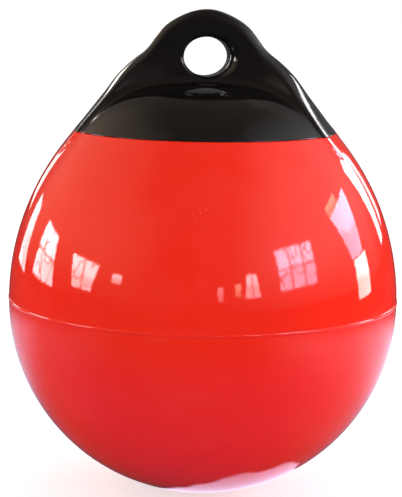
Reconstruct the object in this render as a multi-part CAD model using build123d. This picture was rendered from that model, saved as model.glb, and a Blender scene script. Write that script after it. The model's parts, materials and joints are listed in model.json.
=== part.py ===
# Inflatable mooring buoy: a red PVC float with a black rope-eye cap and an inflation valve.
# Millimetres, +Z up. The origin is on the axis at the water level of the unloaded buoy.
# The eye's hole runs along Y. The front is -Y, and the valve is on the back of the shoulder.
import os
from math import asin, cos, degrees, radians, sin

from build123d import *

# Float, with heights counted from the ball's centre
BALL_R = 150.0          # radius of the inflated ball
SHOULDER_R = 195.0      # radius of the arc that draws the ball in towards the cap
TAPER = 37.8            # half-angle of the cone that the arc runs into, degrees
CONE_L = 14.53          # length of that cone, up to the joint with the cap
WALL = 3.0              # PVC wall of the float
DRAUGHT = 62.0          # depth of the ball's bottom below the water

# Moulding seam round the ball
SEAM_Z = 2.5            # height of the seam
SEAM_H = 3.0            # height of the bead's foot, sunk into the wall
SEAM_PROUD = 0.7        # how far the bead stands out

# Shoulder of the cap
CAP_WALL = 7.5          # wall of the shoulder
CROWN_R = 78.0          # radius that turns the cone over to the crown
CROWN_SLOPE = 8.0       # slope of the crown where that radius ends, degrees

# Lap joint between float and cap
LAP_RISE = 10.0         # height of the float's lip inside the cap
LAP_T = 3.4             # thickness of that lip
LAP_GAP = 0.15          # clearance in the joint
LAP_BAND = 12.0         # height of the float's thick band below the joint
LAP_RUN = 30.0          # height over which the wall thickens to that band

# Eye plate and its ridges
PLATE_T = 28.0          # thickness of the plate
HEAD_R = 44.2           # radius of the plate's rounded head
TOP_Z = 222.8           # top of the head
EDGE_R = 6.0            # rounding of the plate's outer edge
RIDGE_R = 4.0           # rounding of the four ridges
ROOT_DEPTH = 20.0       # how far the plate reaches down into the shoulder's crown

# The tent is the pinched top between the four ridges, which run straight down in the front view
# height, half-depth at the ridges, reach of the side lobe beyond them, half-depth in the middle
TENT_STATIONS = (
    (199.0, 12.0, -4.0, 11.5),
    (192.0, 13.6, -0.8, 12.8),
    (184.5, 15.0, 3.9, 13.4),
    (175.5, 18.8, 6.9, 13.6),
    (168.5, 23.2, 7.2, 15.6),
    (163.0, 27.0, 7.1, 20.5),
    (157.0, 31.0, 7.0, 27.5),
    (131.0, 46.3, 6.6, 31.0),
    (116.0, 43.5, 6.0, 31.0),
    (101.0, 32.0, 2.5, 26.0),
)

# Rope hole
HOLE_W = 35.5
HOLE_H = 30.0
HOLE_Z = 187.0
LIP_R = 5.0             # rounding of both mouths

# Inflation valve, square to the back of the shoulder
VALVE_TILT = 24.0       # lean of the valve's axis from upright, degrees
FLANGE_R = 12.0
FLANGE_T = 5.0
BUSH_R = 8.0
BUSH_L = 14.0           # length of the bush below its flange
POCKET_R = 8.2          # pocket in the flange for the plug's head
POCKET_D = 3.4
PLUG_HEAD_R = 7.6
PLUG_HEAD_T = 3.0
PLUG_SHANK_R = 4.5
PLUG_SHANK_L = 13.0
SLOT_W = 1.8            # screwdriver slot
SLOT_D = 1.6
SEAL_R = 7.2
SEAL_T = 1.2
BOSS_R = 16.0           # thick patch of the shoulder that holds the valve
BOSS_T = 6.0            # how far that patch stands into the float
VALVE_BEVEL = 0.6       # bevel on the outer edges of the flange and the plug's head
FIT = 0.15              # clearance of the valve's pieces

REACH = 4 * BALL_R      # longer than the buoy, for cutting blocks
SHOULDER_X = BALL_R - SHOULDER_R
TAPER_SIN, TAPER_COS = sin(radians(TAPER)), cos(radians(TAPER))
TAPER_TAN = TAPER_SIN / TAPER_COS
CAP_Z = SHOULDER_R * TAPER_SIN + CONE_L * TAPER_COS     # height where red meets black
HEAD_Z = TOP_Z - HEAD_R
FLOAT_Z = BALL_R - DRAUGHT


def on_arc(centre, r, angle):
    """Point of an arc in the XZ plane, its angle in degrees up from +X."""
    return centre[0] + r * cos(radians(angle)), centre[1] + r * sin(radians(angle))


def cone_x(z, inset=0.0):
    """Radius of the cone at a height, on a skin that lies inset below the outer one."""
    foot = on_arc((SHOULDER_X, 0), SHOULDER_R - inset, TAPER)
    return foot[0] - (z - foot[1]) * TAPER_TAN


CROWN_C = (cone_x(CAP_Z) - CROWN_R * TAPER_COS, CAP_Z - CROWN_R * TAPER_SIN)
CROWN_END = 90 - CROWN_SLOPE
TOP_R = on_arc(CROWN_C, CROWN_R, CROWN_END)[0] / sin(radians(CROWN_SLOPE))
TOP_C = (0, on_arc(CROWN_C, CROWN_R, CROWN_END)[1] - TOP_R * cos(radians(CROWN_SLOPE)))


def crown_arcs(inset):
    """The two arcs from the cone over the crown to the axis. Call inside a BuildLine."""
    r, top_r = CROWN_R - inset, TOP_R - inset
    start = on_arc(CROWN_C, r, TAPER)
    end = on_arc(CROWN_C, r, CROWN_END)
    ThreePointArc(start, on_arc(CROWN_C, r, (TAPER + CROWN_END) / 2), end)
    top = on_arc(TOP_C, top_r, 90)
    ThreePointArc(end, on_arc(TOP_C, top_r, 90 - CROWN_SLOPE / 2), top)
    return start, top


def skin(inset):
    """Solid inside the skin that lies inset below the float's outer one, without the eye plate."""
    ball, arm = BALL_R - inset, SHOULDER_R - inset
    with BuildPart() as body:
        with BuildSketch(Plane.XZ):
            with BuildLine():
                ThreePointArc((0, -ball), on_arc((0, 0), ball, -45), (ball, 0))
                foot = on_arc((SHOULDER_X, 0), arm, TAPER)
                ThreePointArc((ball, 0), on_arc((SHOULDER_X, 0), arm, TAPER / 2), foot)
                start, top = crown_arcs(inset)
                Line(foot, start)
                Line(top, (0, -ball))
            make_face()
        revolve(axis=Axis.Z)
    return body.part


def air_space():
    """The air inside: thin wall round the ball, thick band below the joint, shoulder's wall above."""
    ball, arm = BALL_R - WALL, SHOULDER_R - WALL
    band_z = CAP_Z - LAP_BAND
    turn = degrees(asin((band_z - LAP_RUN) / arm))
    with BuildPart() as body:
        with BuildSketch(Plane.XZ):
            with BuildLine():
                ThreePointArc((0, -ball), on_arc((0, 0), ball, -45), (ball, 0))
                bend = on_arc((SHOULDER_X, 0), arm, turn)
                ThreePointArc((ball, 0), on_arc((SHOULDER_X, 0), arm, turn / 2), bend)
                band = (cone_x(band_z, CAP_WALL), band_z)
                Line(bend, band)
                start, top = crown_arcs(CAP_WALL)
                Line(band, start)
                Line(top, (0, -ball))
            make_face()
        revolve(axis=Axis.Z)
    return body.part


def above(z):
    """Everything above a height."""
    return Pos(0, 0, z + REACH / 2) * Box(REACH, REACH, REACH)


def below(z):
    """Everything below a height."""
    return Pos(0, 0, z - REACH / 2) * Box(REACH, REACH, REACH)


def ridge_x(z):
    """Distance of a ridge from the middle, on the straight line that touches the head."""
    tangent = on_arc((0, HEAD_Z), HEAD_R, TAPER)
    return tangent[0] + (tangent[1] - z) * TAPER_TAN


def tent_section(z, depth, reach, middle):
    """Closed outline of four arcs: hollow front and back, crowned sides, rounded ridges."""
    x, lobe = ridge_x(z), ridge_x(z) + reach
    with BuildSketch(Plane.XY.offset(z)) as outline:
        with BuildLine():
            ThreePointArc((-x, -depth), (0, -middle), (x, -depth))
            ThreePointArc((x, -depth), (lobe, 0), (x, depth))
            ThreePointArc((x, depth), (0, middle), (-x, depth))
            ThreePointArc((-x, depth), (-lobe, 0), (-x, -depth))
        make_face()
        fillet(outline.vertices(), RIDGE_R)
    return outline.sketch


def hole_plane():
    """Plane across the rope hole's axis, at the hole's middle."""
    return Plane((0, 0, HOLE_Z), x_dir=(1, 0, 0), z_dir=(0, -1, 0))


def oval(grow, depth):
    """Oval block along the rope hole's axis, wider than the hole by grow on every side."""
    with BuildPart() as body:
        with BuildSketch(hole_plane().offset(-depth / 2)):
            Ellipse(HOLE_W / 2 + grow, HOLE_H / 2 + grow)
        extrude(amount=depth)
    return body.part


def tent():
    """The pinched top between the four ridges, without the head, clear of the hole's mouths."""
    solid = loft(Sketch() + [tent_section(*station) for station in reversed(TENT_STATIONS)])
    return solid - oval(LIP_R, REACH)


def plate():
    """Flat eye plate: rounded head, straight sides, foot in the crown, hole with rounded lips."""
    foot_z = TOP_C[1] + TOP_R - ROOT_DEPTH
    tangent = on_arc((0, HEAD_Z), HEAD_R, TAPER)
    foot = (ridge_x(foot_z), foot_z)
    with BuildPart() as body:
        with BuildSketch(Plane.XZ):
            with BuildLine():
                ThreePointArc((-tangent[0], tangent[1]), (0, TOP_Z), tangent)
                Polyline(tangent, foot, (-foot[0], foot_z), (-tangent[0], tangent[1]))
            make_face()
        extrude(amount=PLATE_T / 2, both=True)
        faces = body.faces().filter_by(Axis.Y)
        rim = [e for f in faces for e in f.edges() if e.center().Z > foot_z + 1]
        fillet(rim, EDGE_R)
    solid = body.part - oval(0, REACH)
    faces = solid.faces().filter_by(Axis.Y)
    mouths = [e for f in faces for wire in f.inner_wires() for e in wire.edges()]
    return solid.fillet(LIP_R, mouths)


def valve_axis():
    """Plane on the back of the shoulder, its Z square to the surface and pointing out."""
    y, z = on_arc(CROWN_C, CROWN_R, 90 - VALVE_TILT)
    lean = radians(VALVE_TILT)
    return Plane((0, y, z), x_dir=(1, 0, 0), z_dir=(0, sin(lean), cos(lean)))


def rod(radius, low, high):
    """Cylinder on the valve's axis between two heights counted out from the surface."""
    return valve_axis() * Pos(0, 0, (low + high) / 2) * Cylinder(radius, high - low)


def bevelled(disc):
    """Disc on the valve's axis with its outermost edge bevelled."""
    axis = Axis(valve_axis().origin, valve_axis().z_dir)
    return disc.chamfer(VALVE_BEVEL, None, disc.edges().filter_by(GeomType.CIRCLE).sort_by(axis)[-1:])


def valve_insert():
    """Flanged bush: flush flange with a pocket for the plug's head, and a bored shank."""
    flange = bevelled(rod(FLANGE_R, -FLANGE_T, 0))
    bush = flange + rod(BUSH_R, -FLANGE_T - BUSH_L, -FLANGE_T)
    return bush - rod(POCKET_R, -POCKET_D, 1) - rod(PLUG_SHANK_R + FIT, -REACH / 4, 1)


def valve_seal():
    """Flat ring under the plug's head."""
    low = -POCKET_D
    return rod(SEAL_R, low, low + SEAL_T) - rod(PLUG_SHANK_R + FIT, low - 1, 1)


def valve_plug():
    """Screw with a slotted round head."""
    low = -POCKET_D + SEAL_T
    head = bevelled(rod(PLUG_HEAD_R, low, low + PLUG_HEAD_T))
    top = low + PLUG_HEAD_T
    slot = valve_axis() * Pos(0, 0, top) * Box(2 * PLUG_HEAD_R + 2, SLOT_W, 2 * SLOT_D)
    return head - slot + rod(PLUG_SHANK_R, low - PLUG_SHANK_L, low)


def outer_form():
    """The buoy's whole outside, solid, with the rope hole, without the seam."""
    return skin(0) + tent() + plate()


def seam():
    """Low bead round the ball where the mould parts: two short cones with a flat between them."""
    crest, root = BALL_R + SEAM_PROUD, BALL_R - SEAM_PROUD
    half, flat = SEAM_H / 2, SEAM_H / 10
    with BuildPart() as body:
        with BuildSketch(Plane.XZ):
            with BuildLine():
                Polyline((root, -half), (crest, -flat), (crest, flat), (root, half), close=True)
            make_face()
        revolve(axis=Axis.Z)
    return Pos(0, 0, SEAM_Z) * body.part


def float_body(form, air):
    """Red shell below the cap, with the lip that the cap laps over and the moulding seam."""
    lip = skin(CAP_WALL - LAP_T) & above(CAP_Z - LAP_BAND) & below(CAP_Z + LAP_RISE)
    return (form & below(CAP_Z)) + lip + seam() - air


def rope_eye_cap(form, air):
    """Black cap: shoulder lapped over the float's lip, ridges, eye plate, and the valve's seat."""
    rebate = skin(CAP_WALL - LAP_T - LAP_GAP) & below(CAP_Z + LAP_RISE + LAP_GAP)
    boss = rod(BOSS_R, -CAP_WALL - BOSS_T, -CAP_WALL / 2)
    cap = (form & above(CAP_Z + LAP_GAP)) - air + boss - rebate
    seat = rod(FLANGE_R + FIT, -FLANGE_T - FIT, FLANGE_T)
    return cap - seat - rod(BUSH_R + FIT, -REACH / 4, 0)


def main():
    """Write one STEP file for each piece."""
    os.makedirs("parts", exist_ok=True)
    form, air = outer_form(), air_space()
    pieces = {
        "float_body": float_body(form, air),
        "rope_eye_cap": rope_eye_cap(form, air),
        "valve_insert": valve_insert(),
        "valve_plug": valve_plug(),
        "valve_seal": valve_seal(),
    }
    for name, piece in pieces.items():
        export_step(Pos(0, 0, FLOAT_Z) * piece, f"parts/{name}.step")


if __name__ == "__main__":
    main()
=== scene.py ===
"""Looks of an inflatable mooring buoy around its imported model, in metres, +Z up.

The black cap is cut out of one implicit form, the red float is a grid laid on the same form, and
small repeated details come from Geometry Nodes. Every finish is procedural.
"""
import json
import logging
import math
from collections.abc import Callable
from dataclasses import dataclass, field
from enum import Enum

import bmesh
import bpy
import numpy as np
from mathutils import Matrix, Quaternion, Vector

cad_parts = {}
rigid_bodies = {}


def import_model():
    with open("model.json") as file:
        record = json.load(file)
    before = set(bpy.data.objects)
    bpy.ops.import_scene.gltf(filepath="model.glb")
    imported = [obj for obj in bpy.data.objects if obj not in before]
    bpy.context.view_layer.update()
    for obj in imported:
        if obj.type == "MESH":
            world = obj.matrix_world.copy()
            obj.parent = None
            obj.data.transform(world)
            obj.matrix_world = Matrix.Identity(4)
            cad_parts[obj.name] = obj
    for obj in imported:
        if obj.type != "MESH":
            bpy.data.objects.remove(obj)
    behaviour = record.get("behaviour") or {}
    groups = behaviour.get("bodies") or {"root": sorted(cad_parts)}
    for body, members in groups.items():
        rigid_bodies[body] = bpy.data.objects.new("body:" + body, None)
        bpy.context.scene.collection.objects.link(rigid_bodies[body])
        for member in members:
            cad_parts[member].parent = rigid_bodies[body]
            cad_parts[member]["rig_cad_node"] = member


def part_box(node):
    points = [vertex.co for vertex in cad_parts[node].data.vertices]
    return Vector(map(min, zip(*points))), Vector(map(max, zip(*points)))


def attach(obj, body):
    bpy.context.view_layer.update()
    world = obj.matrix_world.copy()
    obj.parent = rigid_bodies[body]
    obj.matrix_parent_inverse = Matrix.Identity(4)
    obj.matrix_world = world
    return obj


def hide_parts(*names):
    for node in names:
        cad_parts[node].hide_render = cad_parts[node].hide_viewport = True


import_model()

LOG = logging.getLogger("buoy")
MM = 0.001
# Size of the photograph, in pixels
PHOTO_W, PHOTO_H = 402, 497
# A point closer than this to the form lies on it
ON_SKIN = 0.05 * MM
Colour = tuple[float, float, float]
Field = Callable[[np.ndarray], np.ndarray]


def smooth(edge0: float, edge1: float, x: np.ndarray) -> np.ndarray:
    """Smooth step from 0 at edge0 to 1 at edge1."""
    t = np.clip((x - edge0) / (edge1 - edge0), 0.0, 1.0)
    return t * t * (3.0 - 2.0 * t)


def round_join(a: np.ndarray, b: np.ndarray, r: np.ndarray) -> np.ndarray:
    """Union of two distance fields with a hollow of radius r between them.

    Args:
        a: First distance field.
        b: Second distance field.
        r: Radius of the hollow, one number or one for each point.

    Returns:
        The joined distance field.
    """
    near = np.hypot(np.maximum(r - a, 0.0), np.maximum(r - b, 0.0))
    return np.maximum(r, np.minimum(a, b)) - near


def round_cut(a: np.ndarray, b: np.ndarray, r: np.ndarray) -> np.ndarray:
    """Intersection of two distance fields with an edge rounded to radius r.

    Args:
        a: First distance field.
        b: Second distance field.
        r: Radius of the edge, one number or one for each point.

    Returns:
        The cut distance field.
    """
    near = np.hypot(np.maximum(r + a, 0.0), np.maximum(r + b, 0.0))
    return np.minimum(-r, np.maximum(a, b)) + near


def gradient(f: Field, p: np.ndarray, step: float = 0.05 * MM) -> np.ndarray:
    """Gradient of a field by central differences.

    Args:
        f: Field over points.
        p: Points, one row each.
        step: Half the distance between the two samples on each axis.

    Returns:
        One gradient row for each point.
    """
    rows = []
    for axis in range(3):
        offset = np.zeros(3)
        offset[axis] = step
        rows.append((f(p + offset) - f(p - offset)) / (2 * step))
    return np.stack(rows, axis=1)


@dataclass(frozen=True)
class BuoyForm:
    """The buoy's outside as one implicit form, with heights counted from the ball's centre.

    Attributes:
        ball_r: Radius of the ball.
        shoulder_r: Radius of the arc above the ball's widest level.
        taper: Half-angle of the cone that the arc runs into.
        cap_z: Height of the joint between float and cap.
        crown_r: Radius of the arc that turns the cone over to the crown.
        crown_slope: Slope of the crown where that arc ends.
        plate_t: Thickness of the eye plate.
        head_r: Radius of the plate's head.
        top_z: Height of the head's top.
        pinch: How far the head is drawn in between its top and its straight sides.
        edge_r: Rounding of the plate's edge.
        ridge_r: Rounding of the ridges.
        edge_span: Heights between which the ridges' rounding grows to that of the plate's edge.
        root_r: Radius of the hollow at the plate's foot, in the middle.
        root_end: Share of that radius at the ridges' low ends.
        root_span: Heights between which the share grows to 1.
        hole_w: Width of the rope hole.
        hole_h: Height of the rope hole.
        hole_at: Middle of the rope hole, across and up.
        hole_lean: How far the hole moves to the left for each step back.
        lip_top: Rounding of the hole's mouths above and below.
        lip_wide: Rounding of the mouths at the front's right and the back's left.
        lip_narrow: Rounding of the mouths at the front's left and the back's right.
        station_z: Height of each ridge station, from the head down, in millimetres.
        station_depth: Half-depth at the ridge, at each station, in millimetres.
        station_reach: Reach of the side lobe beyond the ridge, at each station, in millimetres.
        ridge_end: Extra rounding of the ridges where they die away.
        ridge_fade: Heights between which that extra rounding shrinks to nothing.
        flare_power: How late the plate's faces flare on their way out to the ridges.
        flare_run: Height over which the flare dies away upwards, for the slope of the faces.
        ripple: Unevenness of the inflated skin.
        wave: Length that sets the scale of that unevenness.
        seat_at: Middle of the mouth of the valve's seat, back and up.
        seat_tilt: Tilt of the seat's axis from upright.
        seat_r: Radius of the seat.
        seat_d: Depth of the seat.
        seat_edge: Rounding of the seat's edge.
    """

    ball_r: float = 150 * MM
    shoulder_r: float = 195 * MM
    taper: float = math.radians(37.8)
    cap_z: float = 131 * MM
    crown_r: float = 88 * MM
    crown_slope: float = math.radians(8)
    plate_t: float = 28 * MM
    head_r: float = 44.2 * MM
    top_z: float = 222.6 * MM
    pinch: float = 0.8 * MM
    edge_r: float = 6 * MM
    ridge_r: float = 3.5 * MM
    edge_span: tuple[float, float] = (160 * MM, 192 * MM)
    root_r: float = 8 * MM
    root_end: float = 0.15
    root_span: tuple[float, float] = (138 * MM, 166 * MM)
    hole_w: float = 35.4 * MM
    hole_h: float = 29.6 * MM
    hole_at: tuple[float, float] = (-0.8 * MM, 187.2 * MM)
    hole_lean: float = 0.21
    lip_top: float = 3.5 * MM
    lip_wide: float = 7 * MM
    lip_narrow: float = 3 * MM
    station_z: tuple[float, ...] = (202.0, 192.0, 184.5, 175.5, 158.0, 131.0, 116.0, 101.0, 88.0)
    station_depth: tuple[float, ...] = (14.0, 14.0, 15.0, 19.0, 30.5, 46.3, 44.2, 35.0, 24.0)
    station_reach: tuple[float, ...] = (0.0, 0.0, 4.1, 7.0, 7.0, 6.6, 6.0, 2.8, -1.5)
    ridge_end: float = 9 * MM
    ridge_fade: tuple[float, float] = (96 * MM, 128 * MM)
    flare_power: float = 2.4
    flare_run: float = 20 * MM
    ripple: float = 0.10 * MM
    wave: float = 60 * MM
    seat_at: tuple[float, float] = (70.27 * MM, 154.45 * MM)
    seat_tilt: float = math.radians(24)
    seat_r: float = 12.15 * MM
    seat_d: float = 5.1 * MM
    seat_edge: float = 0.5 * MM

    @property
    def shoulder_x(self) -> float:
        """Place of the shoulder arc's centre beside the axis."""
        return self.ball_r - self.shoulder_r

    @property
    def cone_dir(self) -> tuple[float, float]:
        """Direction up the cone, as radius and height."""
        return -math.sin(self.taper), math.cos(self.taper)

    @property
    def cone_foot(self) -> tuple[float, float]:
        """Point where the shoulder's arc runs into the cone."""
        r = self.shoulder_r
        return self.shoulder_x + r * math.cos(self.taper), r * math.sin(self.taper)

    @property
    def crown_centre(self) -> tuple[float, float]:
        """Centre of the arc that turns the cone over to the crown.

        Returns:
            Radius and height of the centre.
        """
        foot = self.cone_foot
        x = foot[0] - (self.cap_z - foot[1]) * math.tan(self.taper)
        return x - self.crown_r * math.cos(self.taper), self.cap_z - self.crown_r * math.sin(self.taper)

    @property
    def top_arc(self) -> tuple[float, float]:
        """Radius of the crown's flat top arc and the height of its centre.

        Returns:
            The radius and the height.
        """
        cx, cz = self.crown_centre
        x = cx + self.crown_r * math.sin(self.crown_slope)
        z = cz + self.crown_r * math.cos(self.crown_slope)
        r = x / math.sin(self.crown_slope)
        return r, z - r * math.cos(self.crown_slope)

    def dome(self, p: np.ndarray) -> np.ndarray:
        """Distance to the turned form, without the eye plate.

        Args:
            p: Points, one row each.

        Returns:
            One distance for each point.
        """
        r, z = np.hypot(p[:, 0], p[:, 1]), p[:, 2]
        foot, (dx, dz) = self.cone_foot, self.cone_dir
        cx, cz = self.crown_centre
        top_r, top_z = self.top_arc
        ball = np.hypot(r, z) - self.ball_r
        arc = np.hypot(r - self.shoulder_x, z) - self.shoulder_r
        cone = (r - foot[0]) * dz - (z - foot[1]) * dx
        crown = np.hypot(r - cx, z - cz) - self.crown_r
        top = np.hypot(r, z - top_z) - top_r
        along = (r - foot[0]) * dx + (z - foot[1]) * dz
        cone_l = (self.cap_z - foot[1]) / dz
        turn = np.arctan2(z - cz, r - cx)
        out = np.where(turn < math.pi / 2 - self.crown_slope, crown, top)
        out = np.where(along < cone_l, cone, out)
        out = np.where(np.arctan2(z, r - self.shoulder_x) < self.taper, arc, out)
        return np.where(z < 0, ball, out)

    def station(self, z: np.ndarray, values: tuple[float, ...]) -> np.ndarray:
        """Smooth value at a height between the ridge stations.

        Args:
            z: Heights.
            values: One value for each station, in millimetres.

        Returns:
            The values at the heights, in metres.
        """
        knots = np.array(self.station_z[::-1]) * MM
        levels = np.array(values[::-1]) * MM
        slopes = np.gradient(levels, knots)
        z = np.clip(z, knots[0], knots[-1])
        i = np.clip(np.searchsorted(knots, z) - 1, 0, len(knots) - 2)
        h = knots[i + 1] - knots[i]
        t = (z - knots[i]) / h
        a, b = levels[i], levels[i + 1]
        return (a * (1 + 2 * t) * (1 - t) ** 2 + b * t * t * (3 - 2 * t)
                + slopes[i] * h * t * (1 - t) ** 2 - slopes[i + 1] * h * t * t * (1 - t))

    def ridge_x(self, z: np.ndarray) -> np.ndarray:
        """Ridge's distance from the middle, on the line that touches the head.

        Args:
            z: Heights.

        Returns:
            One distance for each height.
        """
        head_z = self.top_z - self.head_r
        x = self.head_r * math.cos(self.taper)
        return x + (head_z + self.head_r * math.sin(self.taper) - z) * math.tan(self.taper)

    def bell(self, p: np.ndarray) -> np.ndarray:
        """Distance to the plate's outline in the front view, with the side lobes added.

        Args:
            p: Points, one row each.

        Returns:
            One distance for each point.
        """
        x, z = np.abs(p[:, 0]), p[:, 2]
        head_z = self.top_z - self.head_r
        dx, dz = self.cone_dir
        up = np.arctan2(x, z - head_z) / (math.pi / 2 - self.taper)
        head = np.hypot(x, z - head_z) - self.head_r + self.pinch * np.sin(math.pi * up) ** 2
        side = x * dz - (z - head_z) * dx - self.head_r
        flat = np.where(np.arctan2(z - head_z, x) > self.taper, head, side)
        depth = self.station(z, self.station_depth)
        across = np.clip(1 - (p[:, 1] / depth) ** 2, -1.0, 1.0)
        return flat - self.station(z, self.station_reach) * across * dz

    def faces(self, p: np.ndarray) -> np.ndarray:
        """Distance to the plate's front and back faces, which flare out to the ridges.

        Args:
            p: Points, one row each.

        Returns:
            One distance for each point.
        """
        x, z = np.abs(p[:, 0]), p[:, 2]
        half, ridge = self.plate_t / 2, self.ridge_x(z)
        flare = np.maximum(self.station(z, self.station_depth) - half, 0.0)
        share = np.clip(x / ridge, 0.0, 1.25)
        slope_x = flare * self.flare_power * share ** (self.flare_power - 1) / ridge
        slope_z = np.minimum(flare / self.flare_run, 0.6) * share ** self.flare_power
        rise = np.abs(p[:, 1]) - half - flare * share ** self.flare_power
        return rise / np.sqrt(1 + slope_x ** 2 + slope_z ** 2)

    def fade(self, p: np.ndarray) -> np.ndarray:
        """Draws the ridges into the float below their last station."""
        return np.maximum(self.station_z[-1] * MM - p[:, 2], 0.0)

    def eye(self, p: np.ndarray) -> np.ndarray:
        """Distance to the pinched top: eye plate, four ridges and side lobes.

        Args:
            p: Points, one row each.

        Returns:
            One distance for each point.
        """
        edge = self.ridge_r + (self.edge_r - self.ridge_r) * smooth(*self.edge_span, p[:, 2])
        edge = edge + self.ridge_end * (1 - smooth(*self.ridge_fade, p[:, 2]))
        return round_cut(self.bell(p), self.faces(p), edge) + self.fade(p)

    def hole(self, p: np.ndarray) -> np.ndarray:
        """Distance to the rope hole's oval wall, positive outside the hole.

        Args:
            p: Points, one row each.

        Returns:
            One distance for each point.
        """
        a, b = self.hole_w / 2, self.hole_h / 2
        x = p[:, 0] - self.hole_at[0] + self.hole_lean * p[:, 1]
        z = p[:, 2] - self.hole_at[1]
        k1 = np.hypot(x / a, z / b)
        k2 = np.maximum(np.hypot(x / a ** 2, z / b ** 2), 1e-6)
        return k1 * (k1 - 1) / k2

    def lip(self, p: np.ndarray) -> np.ndarray:
        """Rounding of the hole's mouths, wide at the front's right and at the back's left.

        Args:
            p: Points, one row each.

        Returns:
            One radius for each point.
        """
        x, z = p[:, 0] / self.hole_w, (p[:, 2] - self.hole_at[1]) / self.hole_h
        side = x * x / np.maximum(x * x + z * z, 1e-9)
        lip = np.where(x * p[:, 1] < 0, self.lip_wide, self.lip_narrow)
        return self.lip_top + (lip - self.lip_top) * side

    def waves(self, p: np.ndarray) -> np.ndarray:
        """Faint unevenness of the inflated skin, never outside the true form.

        Args:
            p: Points, one row each.

        Returns:
            One height for each point, never above zero.
        """
        q = p / self.wave
        a = np.sin(2.1 * q[:, 0] + 1.3 * q[:, 2] + 0.7) * np.sin(1.7 * q[:, 1] - 0.9 * q[:, 2] + 1.9)
        b = np.sin(3.9 * q[:, 2] - 2.2 * q[:, 0] + 4.1) * np.cos(2.9 * q[:, 1] + 1.1 * q[:, 0])
        return self.ripple * (a + 0.5 * b - 1.5)

    def rough(self, p: np.ndarray) -> np.ndarray:
        """Quick distance to the outside, without any rounding."""
        pinched = np.maximum(np.maximum(self.bell(p), self.faces(p)), -self.hole(p))
        return np.minimum(self.dome(p), pinched + self.fade(p))

    def outside(self, p: np.ndarray) -> np.ndarray:
        """Distance to the whole outside, without the rope hole.

        Args:
            p: Points, one row each.

        Returns:
            One distance for each point.
        """
        lean = np.sum(gradient(self.dome, p) * gradient(self.eye, p), axis=1)
        share = self.root_end + (1 - self.root_end) * smooth(*self.root_span, p[:, 2])
        r = np.maximum(self.root_r * share * (1 - np.clip(lean, 0.0, 1.0)), 0.3 * MM)
        return round_join(self.dome(p), self.eye(p), r) - self.waves(p)

    def seat(self, p: np.ndarray) -> np.ndarray:
        """Distance to the valve's seat, a round recess open to the outside, negative within it.

        Args:
            p: Points, one row each.

        Returns:
            One distance for each point.
        """
        axis = np.array([0.0, math.sin(self.seat_tilt), math.cos(self.seat_tilt)])
        from_mouth = p - np.array([0.0, *self.seat_at])
        along = from_mouth @ axis
        beside = np.linalg.norm(from_mouth - along[:, None] * axis, axis=1)
        return np.maximum(beside - self.seat_r, -along - self.seat_d)

    def whole(self, p: np.ndarray) -> np.ndarray:
        """Distance to the whole outside with the rope hole and the valve's seat cut into it."""
        holed = round_cut(self.outside(p), -self.hole(p), self.lip(p))
        return round_cut(holed, -self.seat(p), self.seat_edge)


def settle(f: Field, p: np.ndarray, rounds: int = 4, most: float = 1 * MM) -> np.ndarray:
    """Points moved along a field's gradient until they lie on its surface.

    Args:
        f: Field, zero on the surface.
        p: Points near the surface.
        rounds: Number of moves.
        most: Longest move.

    Returns:
        The moved points.
    """
    for _ in range(rounds):
        g = gradient(f, p)
        step = f(p) / np.maximum(np.sum(g * g, axis=1), 0.05)
        p = p - np.clip(step, -most, most)[:, None] * g
    return p


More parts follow.
